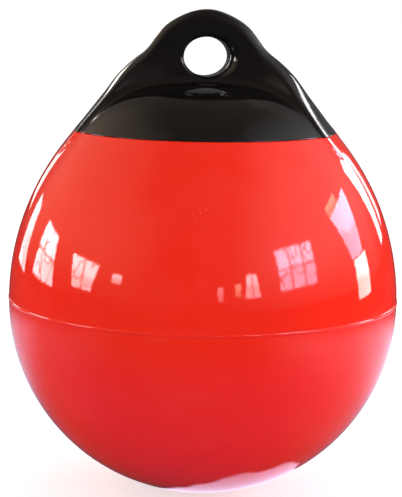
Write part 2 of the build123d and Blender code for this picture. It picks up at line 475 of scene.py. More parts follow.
def surface_net(f: Field, rough: Field, low: Vector, high: Vector, cell: float,
                band: float = 8 * MM) -> tuple[np.ndarray, np.ndarray]:
    """Quads round the places where a field changes sign on a regular grid.

    Args:
        f: Field, negative inside.
        rough: Quicker field that takes its place away from the surface.
        low: Lowest corner of the grid.
        high: Highest corner of the grid.
        cell: Size of a cell.
        band: Distance from the surface within which the exact field is used.

    Returns:
        Points and quads, the quads facing out.
    """
    axes = [np.arange(a, b + cell, cell) for a, b in zip(low, high)]
    shape = tuple(len(a) for a in axes)
    grid = np.stack(np.meshgrid(*axes, indexing="ij"), axis=-1).reshape(-1, 3)
    value = rough(grid)
    near = np.abs(value) < band
    value[near] = f(grid[near])
    value = value.reshape(shape)
    cells = tuple(n - 1 for n in shape)
    total, count = np.zeros(cells + (3,)), np.zeros(cells)
    for axis in range(3):
        others = [a for a in range(3) if a != axis]
        for shift_a in (0, 1):
            for shift_b in (0, 1):
                lo = [slice(0, n) for n in cells]
                lo[others[0]] = slice(shift_a, cells[others[0]] + shift_a)
                lo[others[1]] = slice(shift_b, cells[others[1]] + shift_b)
                hi = list(lo)
                hi[axis] = slice(1, cells[axis] + 1)
                a, b = value[tuple(lo)], value[tuple(hi)]
                crossed = (a < 0) != (b < 0)
                t = np.where(crossed, a / np.where(crossed, a - b, 1.0), 0.0)
                place = np.zeros(cells + (3,))
                place[..., axis] = t
                place[..., others[0]] = shift_a
                place[..., others[1]] = shift_b
                total += np.where(crossed[..., None], place, 0.0)
                count += crossed
    active = count > 0
    index = np.full(cells, -1)
    index[active] = np.arange(active.sum())
    corner = np.stack(np.nonzero(active), axis=1)
    origin = np.array([a[0] for a in axes])
    points = origin + (corner + total[active] / count[active][:, None]) * cell
    quads = []
    for axis in range(3):
        b, c = (axis + 1) % 3, (axis + 2) % 3
        inner = [slice(1, n - 1) for n in shape]
        inner[axis] = slice(0, shape[axis] - 1)
        ahead = list(inner)
        ahead[axis] = slice(1, shape[axis])
        v0, v1 = value[tuple(inner)], value[tuple(ahead)]
        crossed = (v0 < 0) != (v1 < 0)
        at = np.stack(np.nonzero(crossed), axis=1)
        at[:, b] += 1
        at[:, c] += 1
        ring = []
        for shift_b, shift_c in ((0, 0), (-1, 0), (-1, -1), (0, -1)):
            cell_at = at.copy()
            cell_at[:, b] += shift_b
            cell_at[:, c] += shift_c
            ring.append(index[tuple(cell_at.T)])
        quad = np.stack(ring, axis=1)
        outward = v0[crossed] < 0
        quads.append(np.where(outward[:, None], quad, quad[:, ::-1]))
    return points, np.concatenate(quads)


def make_object(name: str, mesh: bpy.types.Mesh) -> bpy.types.Object:
    """Object at the origin that shows a mesh.

    Args:
        name: Name of the object.
        mesh: Mesh that it shows.

    Returns:
        The object, linked to the scene.
    """
    obj = bpy.data.objects.new(name, mesh)
    bpy.context.scene.collection.objects.link(obj)
    return obj


class Graph:
    """Makes the nodes of one shader or geometry tree."""

    def __init__(self, tree: bpy.types.NodeTree) -> None:
        """Starts an empty tree."""
        self.tree = tree
        tree.nodes.clear()

    def node(self, kind: str, values: dict[int | str, object] | None = None,
             **settings: object) -> bpy.types.Node:
        """Makes any node: its settings first, then the values or links of its sockets.

        Args:
            kind: Node type.
            values: Value, socket or wrapped socket for each input, by name or number.
            settings: Properties of the node; stops gives the stops of a colour ramp.

        Returns:
            The node.
        """
        made = self.tree.nodes.new(kind)
        for name, value in settings.items():
            if name == "stops":
                self.set_stops(made.color_ramp, value)
            else:
                setattr(made, name, value)
        for key, value in (values or {}).items():
            value = value.socket if isinstance(value, Value) else value
            if isinstance(value, bpy.types.NodeSocket):
                self.tree.links.new(value, made.inputs[key])
            elif value is not None:
                made.inputs[key].default_value = value
        return made

    @staticmethod
    def set_stops(ramp: bpy.types.ColorRamp, stops: list[tuple[float, Colour]]) -> None:
        """Gives a colour ramp its stops, from the left.

        Args:
            ramp: The ramp.
            stops: Place and colour of each stop.
        """
        while len(ramp.elements) < len(stops):
            ramp.elements.new(1.0)
        for element, (place, colour) in zip(ramp.elements, stops):
            element.position = place
            element.color = (*colour, 1.0)

    def value(self, node: bpy.types.Node, output: int | str = 0) -> "Value":
        """Wraps one output of a node for use in an expression."""
        return Value(self, node.outputs[output])

    def math(self, operation: str, *terms: "Value | float") -> "Value":
        """Math node over numbers and wrapped sockets."""
        return self.value(self.node("ShaderNodeMath", dict(enumerate(terms)), operation=operation))

    def vector(self, operation: str, a: object, b: object = None, **inputs: object) -> "Value":
        """Vector Math node over vectors and wrapped sockets, with further inputs by name."""
        made = self.node("ShaderNodeVectorMath", {0: a, 1: b, **inputs}, operation=operation)
        return self.value(made)

    def blend(self, share: "Value | float", a: object, b: object) -> "Value":
        """Colour that runs from a to b as the share goes from 0 to 1.

        Args:
            share: Share of b, from 0 to 1.
            a: First colour or socket.
            b: Second colour or socket.

        Returns:
            The mixed colour.
        """
        a, b = ((*c, 1.0) if isinstance(c, tuple) else c for c in (a, b))
        mix = self.node("ShaderNodeMix", {0: share, 6: a, 7: b}, data_type="RGBA")
        return self.value(mix, 2)

    def noise(self, place: object, scale: float, detail: float = 2.0, rough: float = 0.5) -> "Value":
        """Noise over a place, from 0 to 1.

        Args:
            place: Coordinates.
            scale: Scale of the noise.
            detail: Number of finer octaves.
            rough: Strength of the finer octaves.

        Returns:
            The noise.
        """
        made = self.node("ShaderNodeTexNoise",
                         {"Vector": place, "Scale": scale, "Detail": detail, "Roughness": rough})
        return self.value(made)

    def step(self, value: "Value", low: float, high: float) -> "Value":
        """Smooth step of a value between two limits.

        Args:
            value: Value to place between the limits.
            low: Limit that gives 0.
            high: Limit that gives 1.

        Returns:
            The step.
        """
        made = self.node("ShaderNodeMapRange", {0: value, 1: low, 2: high, 3: 0.0, 4: 1.0},
                         interpolation_type="SMOOTHSTEP")
        return self.value(made)

    def axes(self, place: object) -> tuple["Value", "Value", "Value"]:
        """The three numbers of a vector."""
        parts = self.node("ShaderNodeSeparateXYZ", {0: place})
        return self.value(parts, 0), self.value(parts, 1), self.value(parts, 2)


class Value:
    """A socket that can be used in Python expressions, which add Math nodes."""

    def __init__(self, graph: Graph, socket: bpy.types.NodeSocket) -> None:
        """Wraps a socket of a graph's tree."""
        self.graph = graph
        self.socket = socket

    def __add__(self, other: "Value | float") -> "Value":
        """Sum."""
        return self.graph.math("ADD", self, other)

    def __sub__(self, other: "Value | float") -> "Value":
        """Difference."""
        return self.graph.math("SUBTRACT", self, other)

    def __rsub__(self, other: float) -> "Value":
        """Difference from a number."""
        return self.graph.math("SUBTRACT", other, self)

    def __mul__(self, other: "Value | float") -> "Value":
        """Product."""
        return self.graph.math("MULTIPLY", self, other)

    def __pow__(self, power: "Value | float") -> "Value":
        """Power."""
        return self.graph.math("POWER", self, power)

    def __lt__(self, other: "Value | float") -> "Value":
        """1 where the value is below the other, and 0 elsewhere."""
        return self.graph.math("LESS_THAN", self, other)

    __radd__, __rmul__ = __add__, __mul__


class GeometryTree(Graph):
    """A Geometry Nodes tree with named inputs, turned into a plain mesh."""

    def __init__(self, name: str, sizes: dict[str, float | int]) -> None:
        """Starts a tree.

        Args:
            name: Name of the tree.
            sizes: Named inputs and their values, whole numbers as counts.
        """
        super().__init__(bpy.data.node_groups.new(name, "GeometryNodeTree"))
        face = self.tree.interface
        face.new_socket("Geometry", in_out="INPUT", socket_type="NodeSocketGeometry")
        face.new_socket("Geometry", in_out="OUTPUT", socket_type="NodeSocketGeometry")
        self.sizes = sizes
        self.keys: dict[str, str] = {}
        for label, size in sizes.items():
            kind = "NodeSocketInt" if isinstance(size, int) else "NodeSocketFloat"
            self.keys[label] = face.new_socket(label, in_out="INPUT", socket_type=kind).identifier
        self.start = self.node("NodeGroupInput")

    def size(self, label: str) -> Value:
        """One of the named inputs."""
        return self.value(self.start, label)

    def bake(self, name: str, shape: object, finish: bpy.types.Material,
             base: bpy.types.Mesh | None = None) -> bpy.types.Mesh:
        """Ends the tree, evaluates it and returns a plain mesh.

        Args:
            name: Name of the mesh.
            shape: Geometry that the tree makes.
            finish: Material that the tree sets.
            base: Mesh that the tree starts from, if it needs one.

        Returns:
            The mesh, with no modifier behind it.
        """
        real = self.node("GeometryNodeRealizeInstances", {0: shape})
        dressed = self.node("GeometryNodeSetMaterial", {0: real.outputs[0], "Material": finish})
        self.node("NodeGroupOutput", {0: dressed.outputs[0]})
        carrier = make_object(name, base or bpy.data.meshes.new(name))
        modifier = carrier.modifiers.new(name, "NODES")
        modifier.node_group = self.tree
        for label, size in self.sizes.items():
            modifier[self.keys[label]] = size
        graph = bpy.context.evaluated_depsgraph_get()
        mesh = bpy.data.meshes.new_from_object(carrier.evaluated_get(graph), depsgraph=graph)
        carrier.modifiers.remove(modifier)
        bpy.data.objects.remove(carrier)
        mesh.name = name
        return mesh


class Slot(Enum):
    """Material slots of the record."""

    FLOAT = "float_pvc"
    CAP = "cap_pvc"
    VALVE = "valve_plastic"
    PLUG = "plug_plastic"
    SEAL = "seal_rubber"


@dataclass(frozen=True)
class MouldedVinyl:
    """Glossy moulded vinyl with clouds in its colour, smears in its gloss and a faint orange peel.

    Attributes:
        name: Name of the material.
        colour: Main colour.
        cloud: Colour of the clouds.
        dust: Colour of specks and dust.
        gloss: Roughness of the clean skin.
        smear: How much smears add to the roughness.
        peel: Height of the orange peel.
        specks: Share of the skin that carries specks.
        seed: Moves the pattern.
    """

    name: str
    colour: Colour
    cloud: Colour
    dust: Colour
    gloss: float = 0.028
    smear: float = 0.05
    peel: float = 0.00002
    specks: float = 0.03
    seed: float = 0.0

    def build(self) -> bpy.types.Material:
        """The material.

        Returns:
            The finished node material.
        """
        material = bpy.data.materials.new(self.name)
        material.use_nodes = True
        g = Graph(material.node_tree)
        # Scales are in cells for each metre
        coords = g.node("ShaderNodeTexCoord").outputs["Object"]
        place = g.vector("ADD", coords, (self.seed, 2.0 * self.seed, -self.seed))
        clouds = g.step(g.noise(place, 9.0, 4.0), 0.35, 0.72)
        grain = g.noise(place, 900.0, 3.0, 0.6)
        smears = g.step(g.noise(g.vector("MULTIPLY", place, (1.0, 1.0, 2.6)), 14.0, 6.0, 0.62), 0.46, 0.78)
        cells = g.node("ShaderNodeTexVoronoi", {"Vector": place, "Scale": 240.0})
        spots = (g.value(cells, "Distance") < 0.16) * g.step(g.noise(place, 60.0), 0.66, 0.74)
        colour = g.blend(clouds * 0.55, self.colour, self.cloud)
        colour = g.blend(spots * (self.specks * 10) + smears * 0.035, colour, self.dust)
        rough = self.gloss + smears * self.smear + grain * 0.02 + spots * 0.2
        peel = g.noise(place, 210.0, 2.0) + 0.35 * grain
        lumps = g.noise(place, 34.0, 1.0)
        fine = g.node("ShaderNodeBump", {"Height": peel, "Distance": self.peel, "Strength": 1.0})
        bump = g.node("ShaderNodeBump", {"Height": lumps, "Distance": 4 * self.peel, "Strength": 1.0,
                                         "Normal": fine.outputs[0]})
        shader = g.node("ShaderNodeBsdfPrincipled",
                        {"Base Color": colour, "Roughness": rough, "IOR": 1.5,
                         "Normal": bump.outputs[0]})
        g.node("ShaderNodeOutputMaterial", {"Surface": shader.outputs[0]})
        return material


@dataclass(frozen=True)
class HardPlastic:
    """Satin moulded plastic with a spark-eroded grain and rubbed places.

    Attributes:
        name: Name of the material.
        colour: Main colour.
        worn: Colour of the rubbed places.
        rough: Roughness.
        grain: Height of the grain.
    """

    name: str
    colour: Colour
    worn: Colour
    rough: float = 0.35
    grain: float = 0.00005

    def build(self) -> bpy.types.Material:
        """The material.

        Returns:
            The finished node material.
        """
        material = bpy.data.materials.new(self.name)
        material.use_nodes = True
        g = Graph(material.node_tree)
        # Scales are in cells for each metre
        place = g.node("ShaderNodeTexCoord").outputs["Object"]
        wear = g.step(g.noise(place, 260.0, 5.0, 0.65), 0.52, 0.75)
        grain = g.noise(place, 2400.0, 2.0)
        colour = g.blend(wear * 0.5, self.colour, self.worn)
        bump = g.node("ShaderNodeBump", {"Height": grain, "Distance": self.grain, "Strength": 0.8})
        shader = g.node("ShaderNodeBsdfPrincipled",
                        {"Base Color": colour, "Roughness": self.rough + wear * 0.15 + grain * 0.08,
                         "Normal": bump.outputs[0]})
        g.node("ShaderNodeOutputMaterial", {"Surface": shader.outputs[0]})
        return material


@dataclass(frozen=True)
class StudioFloor:
    """Pale floor that is white to the camera and keeps the shadow, and that shows reflections a painted
    glow, dim and bluish, with painted pools of light.

    Attributes:
        name: Name of the material.
        colour: Colour of the floor.
        white: Light added for the camera.
        far: Painted reflection colour of the floor away from the buoy.
        near: Light added before the buoy.
        right: Light added on the right.
        left: Light added on the left.
        back: Light added behind.
        painted_glow: Light added where the buoy stands.
        painted_glow_at: Middle and radius of that place.
    """

    name: str = "studio_floor"
    colour: Colour = (0.66, 0.66, 0.66)
    white: float = 0.58
    far: Colour = (0.06, 0.055, 0.06)
    near: Colour = (0.0, 0.0, 0.26)
    right: Colour = (0.62, 0.76, 1.02)
    left: Colour = (0.06, 0.28, 0.42)
    back: Colour = (0.45, 0.42, 0.52)
    # Painted glow under the buoy: a bright patch that only reflections see
    painted_glow: Colour = (1.4, 1.2, 1.7)
    painted_glow_at: tuple[float, float, float] = (29 * MM, -11 * MM, 58 * MM)

    def build(self) -> bpy.types.Material:
        """The material.

        Returns:
            The finished node material.
        """
        material = bpy.data.materials.new(self.name)
        material.use_nodes = True
        g = Graph(material.node_tree)
        place = g.node("ShaderNodeTexCoord").outputs["Object"]
        tone = g.blend(g.noise(place, 3.0, 3.0), self.colour, tuple(0.97 * c for c in self.colour))
        body = g.node("ShaderNodeBsdfDiffuse", {"Color": tone})
        rays = g.node("ShaderNodeLightPath")
        seen = g.math("MAXIMUM", g.value(rays, "Is Camera Ray"), g.value(rays, "Is Transmission Ray"))
        glow = g.node("ShaderNodeEmission", {"Color": (1.0, 1.0, 1.0, 1.0), "Strength": seen * self.white})
        shown = g.node("ShaderNodeAddShader", {0: body.outputs[0], 1: glow.outputs[0]})
        # Reflections see a painted glow in place of the lit floor: dim and bluish, with painted pools of
        # light
        painted_reflection = g.node("ShaderNodeEmission", {"Color": self.mirrored(g, place), "Strength": 1.0})
        both = g.node("ShaderNodeMixShader", {0: rays.outputs["Is Glossy Ray"], 1: shown.outputs[0],
                                              2: painted_reflection.outputs[0]})
        g.node("ShaderNodeOutputMaterial", {"Surface": both.outputs[0]})
        return material

    def mirrored(self, g: Graph, place: object) -> Value:
        """Painted colour that reflections in the buoy show for the floor, with painted pools of light.

        Args:
            g: The material's graph.
            place: Object coordinates of the floor.

        Returns:
            The colour.
        """
        # Limits are in metres from the buoy's axis
        x, y, _ = g.axes(place)
        left, front, radius = self.painted_glow_at
        edge = g.noise(place, 22.0, 2.0) * 0.03 - 0.015
        # Distance to the painted bright patch under the buoy
        painted_glow = ((x - left) ** 2.0 + (y - front) ** 2.0) ** 0.5 + edge
        away = (x * x + y * y) ** 0.5
        front_half = (1.0 - g.step(away, 0.2, 0.6)) * (1.0 - g.step(y, -0.15, -0.03))
        beside = (1.0 - g.step(away, 0.5, 1.1)) * (1.0 - g.step(y, 0.35, 0.65))
        ring = g.step(away, 0.15, 0.35) * (1.0 - g.step(away, 0.55, 0.85))
        # Painted pools of light in the floor's reflection, before, beside and behind the buoy
        lights = ((front_half, self.near), (beside * g.step(x + y * 0.5, 0.0, 0.5), self.right),
                  (beside * g.step(y * 0.5 - x, 0.0, 0.5), self.left),
                  (ring * g.step(y, -0.05, 0.2), self.back),
                  (1.0 - g.step(painted_glow, radius - 4 * MM, radius + 4 * MM), self.painted_glow))
        total = self.far
        for share, colour in lights:
            total = g.vector("ADD", total, g.vector("SCALE", colour, Scale=share))
        return total


@dataclass
class FormSkin:
    """A skin laid on the buoy's form.

    Attributes:
        form: The buoy's outside.
        base: Height of the ball's centre in the frame.
        finish: Material of the skin.
    """

    form: BuoyForm
    base: float
    finish: bpy.types.Material

    def place(self, bm: bmesh.types.BMesh, name: str, low: float) -> bpy.types.Object:
        """Turns a closed bmesh into a smooth object with the form's own normals.

        Args:
            bm: Mesh, counted from the ball's centre; it is freed.
            name: Name of the object.
            low: Height above which points on the form take its normals.

        Returns:
            The object, in the frame.
        """
        bmesh.ops.recalc_face_normals(bm, faces=bm.faces[:])
        mesh = bpy.data.meshes.new(name)
        bm.to_mesh(mesh)
        bm.free()
        mesh.polygons.foreach_set("use_smooth", [True] * len(mesh.polygons))
        mesh.update()
        co, normals = (np.empty(len(mesh.vertices) * 3) for _ in range(2))
        mesh.vertices.foreach_get("co", co)
        mesh.vertices.foreach_get("normal", normals)
        co, normals = co.reshape(-1, 3), normals.reshape(-1, 3)
        skin = np.nonzero(co[:, 2] > low)[0]
        skin = skin[np.abs(self.form.whole(co[skin])) < ON_SKIN]
        g = gradient(self.form.whole, co[skin])
        normals[skin] = g / np.linalg.norm(g, axis=1)[:, None]
        mesh.normals_split_custom_set_from_vertices(normals.tolist())
        mesh.transform(Matrix.Translation((0, 0, self.base)))
        mesh.materials.clear()
        mesh.materials.append(self.finish)
        return make_object(name, mesh)

    @staticmethod
    def extend(bm: bmesh.types.BMesh, loop: list[bmesh.types.BMVert],
               rows: list[np.ndarray]) -> list[bmesh.types.BMVert]:
        """Adds rows of quads to a closed loop of points and returns the last row.

        Args:
            bm: Mesh to add to.
            loop: Points that the first row joins.
            rows: Rows with as many points as the loop.

        Returns:
            The last row's points.
        """
        for row in rows:
            fresh = [bm.verts.new(p) for p in row]
            for i, vert in enumerate(fresh):
                j = (i + 1) % len(fresh)
                bm.faces.new((loop[i], loop[j], fresh[j], vert))
            loop = fresh
        return loop

    @staticmethod
    def open_loop(bm: bmesh.types.BMesh) -> list[bmesh.types.BMVert]:
        """The points of the mesh's one open edge, in order round the axis."""
        rim = {v for e in bm.edges if e.is_boundary for v in e.verts}
        return sorted(rim, key=lambda v: math.atan2(v.co.y, v.co.x))


@dataclass
class RopeEyeCap(FormSkin):
    """Black cap: the upper part of the form, cut at the joint and closed inside.

    Attributes:
        gap: Clearance between cap and float at the joint.
        rim_r: Rounding of the cap's lower rim.
        wall: Wall of the shoulder.
        lap: Height and inset of the rebate that takes the float's lip.
        cell: Size of the grid's cells.
        reach: Half-width of the grid.
        start: How far the grid starts below the cut.
        spare: Height of the grid above the head, and of the faces kept below the cut.
    """

    gap: float = 0.15 * MM
    rim_r: float = 0.6 * MM
    wall: float = 7.5 * MM
    lap: tuple[float, float] = (10 * MM, 4.0 * MM)
    cell: float = 1.5 * MM
    reach: float = 108 * MM
    start: float = 4 * MM
    spare: float = 3 * MM

    def build(self) -> bpy.types.Object:
        """The cap, closed.

        Returns:
            The cap's object, in the frame.
        """
        form, whole = self.form, self.form.whole
        cut = form.cap_z + self.gap + self.rim_r
        low = Vector((-self.reach, -self.reach, cut - self.start))
        high = Vector((self.reach, self.reach, form.top_z + self.spare))
        points, quads = surface_net(whole, form.rough, low, high, self.cell)
        points = settle(whole, points)
        bm = bmesh.new()
        verts = [bm.verts.new(p) for p in points]
        for quad in quads:
            if min(points[i][2] for i in quad) > cut - self.spare:
                bm.faces.new([verts[i] for i in quad])
        geom = bm.verts[:] + bm.edges[:] + bm.faces[:]
        bmesh.ops.bisect_plane(bm, geom=geom, plane_co=(0, 0, cut), plane_no=(0, 0, 1),
                               clear_inner=True)
        loose = [v for v in bm.verts if not v.link_faces]
        bmesh.ops.delete(bm, geom=loose, context="VERTS")
        self.close(bm)
        return self.place(bm, "rope_eye_cap_skin", cut - 0.01 * MM)

    def close(self, bm: bmesh.types.BMesh) -> None:
        """Adds the rim, the rebate and the inner dome to the open mesh.

        Args:
            bm: Mesh whose one open edge is the cut; it is changed.
        """
        loop = self.open_loop(bm)
        start = np.array([v.co[:] for v in loop])
        angles = np.arctan2(start[:, 1], start[:, 0])
        radius = np.hypot(start[:, 0], start[:, 1])
        z, rise, inset = self.form.cap_z + self.gap, self.lap[0], self.lap[1]
        levels = [(z + self.rim_r * (1 - math.sin(a)), self.rim_r * (1 - math.cos(a)))
                  for a in map(math.radians, (30, 60, 90))]
        levels += [(z, inset), (z + rise, inset), (z + rise, self.wall)]
        rows = [self.ring(h, i, angles, radius - i) for h, i in levels]
        loop = self.extend(bm, loop, rows + self.inner_dome(angles, rows[-1]))
        apex = bm.verts.new((0, 0, self.inner_top))
        for i, vert in enumerate(loop):
            bm.faces.new((vert, loop[(i + 1) % len(loop)], apex))

    @property
    def inner_top(self) -> float:
        """Height of the inside's highest point."""
        return self.form.top_arc[0] + self.form.top_arc[1] - self.wall

    def ring(self, z: float, inset: float, angles: np.ndarray, guess: np.ndarray) -> np.ndarray:
        """Closed row of the form at one height, drawn in by an inset.

        Args:
            z: Height of the row.
            inset: How far the row lies inside the form.
            angles: Angle of each point round the axis.
            guess: Radius near each point.

        Returns:
            One point for each angle.
        """
        out = np.stack([np.cos(angles), np.sin(angles), np.zeros_like(angles)], axis=1)
        r = guess.copy()
        level = np.array([0.0, 0.0, z])
        for _ in range(6):
            p = out * r[:, None] + level
            slope = np.sum(gradient(self.form.outside, p) * out, axis=1)
            r = r - (self.form.outside(p) + inset) / np.maximum(slope, 0.3)
        return out * r[:, None] + level

    def inner_dome(self, angles: np.ndarray, start: np.ndarray, steps: int = 7) -> list[np.ndarray]:
        """Rows of points that close the inside as a flat dome.

        Args:
            angles: Angle of each point round the axis.
            start: Row where the dome begins.
            steps: Rows up to the axis.

        Returns:
            The rows, without the point on the axis.
        """
        low, radius = start[:, 2].mean(), np.hypot(start[:, 0], start[:, 1])
        rows = []
        for turn in (i / steps * math.pi / 2 for i in range(1, steps)):
            r = radius * math.cos(turn)
            z = np.full_like(r, low + (self.inner_top - low) * math.sin(turn))
            rows.append(np.stack([r * np.cos(angles), r * np.sin(angles), z], axis=1))
        return rows


@dataclass
class FloatBody(FormSkin):
    """Red float: a turned skin from Geometry Nodes, drawn onto the form, with its lip.

    Attributes:
        columns: Points round the axis.
        rows: Rows of points from the bottom to the joint.
        rim_r: Rounding of the float's edge at the joint.
        step: Inset of the step between the rounded edge and the lip.
        lip: Height of the lip, inset of its outside and inset of its inside.
        ridge_low: Height above which the ridges reach the float.
    """

    columns: int = 360
    rows: int = 221
    rim_r: float = 0.6 * MM
    step: float = 4.2 * MM
    lip: tuple[float, float, float] = (9.8 * MM, 11.5 * MM, 15.0 * MM)
    ridge_low: float = 60 * MM

    def turned(self) -> bpy.types.Mesh:
        """Turned skin: a ball below its widest level and the shoulder's arc above it.

        Returns:
            The open mesh, counted from the ball's centre.
        """
        form = self.form
        tree = GeometryTree("turned_float", {
            "Ball Radius": form.ball_r, "Shoulder Radius": form.shoulder_r,
            "Joint Height": form.cap_z - self.rim_r, "Columns": self.columns + 1, "Rows": self.rows})
        grid = tree.node("GeometryNodeMeshGrid", {"Size X": 1.0, "Size Y": 1.0,
                                                  "Vertices X": tree.size("Columns"),
                                                  "Vertices Y": tree.size("Rows")})
        x, y, _ = tree.axes(tree.node("GeometryNodeInputPosition").outputs[0])
        turn = (x + 0.5) * (2 * math.pi)
        below = y < 0.0
        dip = y * math.pi
        height = y * 2.0 * tree.size("Joint Height")
        reach = tree.size("Shoulder Radius")
        arc = (reach * reach - height * height) ** 0.5 + tree.size("Ball Radius") - reach
        radius = below * tree.math("COSINE", dip) * tree.size("Ball Radius") + (1.0 - below) * arc
        z = below * tree.math("SINE", dip) * tree.size("Ball Radius") + (1.0 - below) * height
        place = tree.node("ShaderNodeCombineXYZ", {0: radius * tree.math("COSINE", turn),
                                                   1: radius * tree.math("SINE", turn), 2: z})
        moved = tree.node("GeometryNodeSetPosition", {0: grid.outputs[0], "Position": place.outputs[0]})
        welded = tree.node("GeometryNodeMergeByDistance", {0: moved.outputs[0], "Distance": 0.02 * MM})
        return tree.bake("turned_float", welded.outputs[0], self.finish)

    def build(self) -> bpy.types.Object:
        """The float, closed.

        Returns:
            The float's object, in the frame.
        """
        bm = bmesh.new()
        bm.from_mesh(self.turned())
        points = np.array([v.co[:] for v in bm.verts])
        out = points * (1.0, 1.0, 0.0)
        out /= np.maximum(np.linalg.norm(out, axis=1), 1e-9)[:, None]
        high = points[:, 2] > self.ridge_low
        points[high] = self.drawn(points[high], out[high])
        away = points[~high] / np.linalg.norm(points[~high], axis=1)[:, None]
        points[~high] += self.form.waves(points[~high])[:, None] * away
        for vert, point in zip(bm.verts, points):
            vert.co = point
        self.close(bm)
        return self.place(bm, "float_body_skin", -self.form.ball_r - MM)

    def drawn(self, p: np.ndarray, out: np.ndarray, start: float = 12 * MM, rounds: int = 10,
              most: float = 3 * MM) -> np.ndarray:
        """Points moved level onto the form, from the outside.

        Args:
            p: Points, one row each.
            out: Level direction away from the axis, for each point.
            start: How far outside the form the points may have to start.
            rounds: Number of moves.
            most: Longest move.

        Returns:
            The moved points.
        """
        p = p + start * out
        for _ in range(rounds):
            slope = np.sum(gradient(self.form.outside, p) * out, axis=1)
            step = self.form.outside(p) / np.maximum(slope, 0.35)
            p = p - np.clip(step, -most, most)[:, None] * out
        return p

    def close(self, bm: bmesh.types.BMesh) -> None:
        """Adds the rounded edge at the joint, the lip inside the cap and the closing face.

        Args:
            bm: Mesh whose one open edge is at the joint; it is changed.
        """
        loop = self.open_loop(bm)
        start = np.array([v.co[:] for v in loop])
        radius = np.hypot(start[:, 0], start[:, 1])
        out = start * (1.0, 1.0, 0.0) / radius[:, None]
        top, lean = self.form.cap_z, math.tan(self.form.taper)
        levels = []
        for turn in map(math.radians, (30, 60, 90)):
            rise = self.rim_r * math.sin(turn)
            levels.append((top - self.rim_r + rise, self.rim_r * (1 - math.cos(turn)) + rise * lean))
        rise, outer, inner = self.lip
        levels += [(top, self.step), (top + rise, outer), (top + rise, inner)]
        rows = [out * (radius - i)[:, None] + np.array([0.0, 0.0, h]) for h, i in levels]
        bm.faces.new(self.extend(bm, loop, rows))


@dataclass
class MouldSeam:
    """Parting-line bead round the float's widest part, made by Geometry Nodes.

    Attributes:
        form: The buoy's outside.
        base: Height of the ball's centre in the frame.
        finish: Material of the bead.
        height: Height of the bead above the ball's centre.
        bead: Half-width of the bead's oval section across the skin and along it.
        proud: How far the bead stands out of the skin.
        drift: How far the bead wanders up and down.
        points: Points round the axis.
    """

    form: BuoyForm
    base: float
    finish: bpy.types.Material
    height: float = 2.5 * MM
    bead: tuple[float, float] = (0.6 * MM, 1.3 * MM)
    proud: float = 0.35 * MM
    drift: float = 0.3 * MM
    points: int = 720

    def build(self) -> bpy.types.Object:
        """The bead's object, in the frame.

        Returns:
            The bead.
        """
        tree = GeometryTree("mould_seam", {
            "Ring Radius": self.form.ball_r + self.proud - self.bead[0], "Bead Across": self.bead[0],
            "Bead Along": self.bead[1], "Height": self.base + self.height, "Points": self.points,
            "Seed": 7})
        ring = tree.node("GeometryNodeCurvePrimitiveCircle",
                         {"Resolution": tree.size("Points"), "Radius": tree.size("Ring Radius")})
        place = tree.node("GeometryNodeInputPosition").outputs[0]
        shift = tree.node("ShaderNodeCombineXYZ", {0: tree.size("Seed")})
        drift = tree.noise(tree.vector("ADD", place, shift.outputs[0]), 34.0, 3.0)
        lift = tree.node("ShaderNodeCombineXYZ", {2: tree.size("Height") + (drift - 0.5) * self.drift})
        raised = tree.node("GeometryNodeSetPosition", {0: ring.outputs[0], "Offset": lift.outputs[0]})
        sized = tree.node("GeometryNodeSetCurveRadius", {0: raised.outputs[0],
                                                         "Radius": 0.85 + drift * 0.3})
        circle = tree.node("GeometryNodeCurvePrimitiveCircle", {"Resolution": 16, "Radius": 1.0})
        oval = tree.node("ShaderNodeCombineXYZ", {0: tree.size("Bead Across"), 1: tree.size("Bead Along"),
                                                  2: 1.0})
        section = tree.node("GeometryNodeTransform", {0: circle.outputs[0], "Scale": oval.outputs[0]})
        bead = tree.node("GeometryNodeCurveToMesh", {0: sized.outputs[0], 1: section.outputs[0]})
        smooth_bead = tree.node("GeometryNodeSetShadeSmooth", {0: bead.outputs[0]})
        return make_object("mould_seam", tree.bake("mould_seam", smooth_bead.outputs[0], self.finish))


# Degrees of window over which the twigs' pattern runs once, and what turns azimuth into its seed
TWIG_SPAN, WINDOW_SEED = 14.0, 7.0


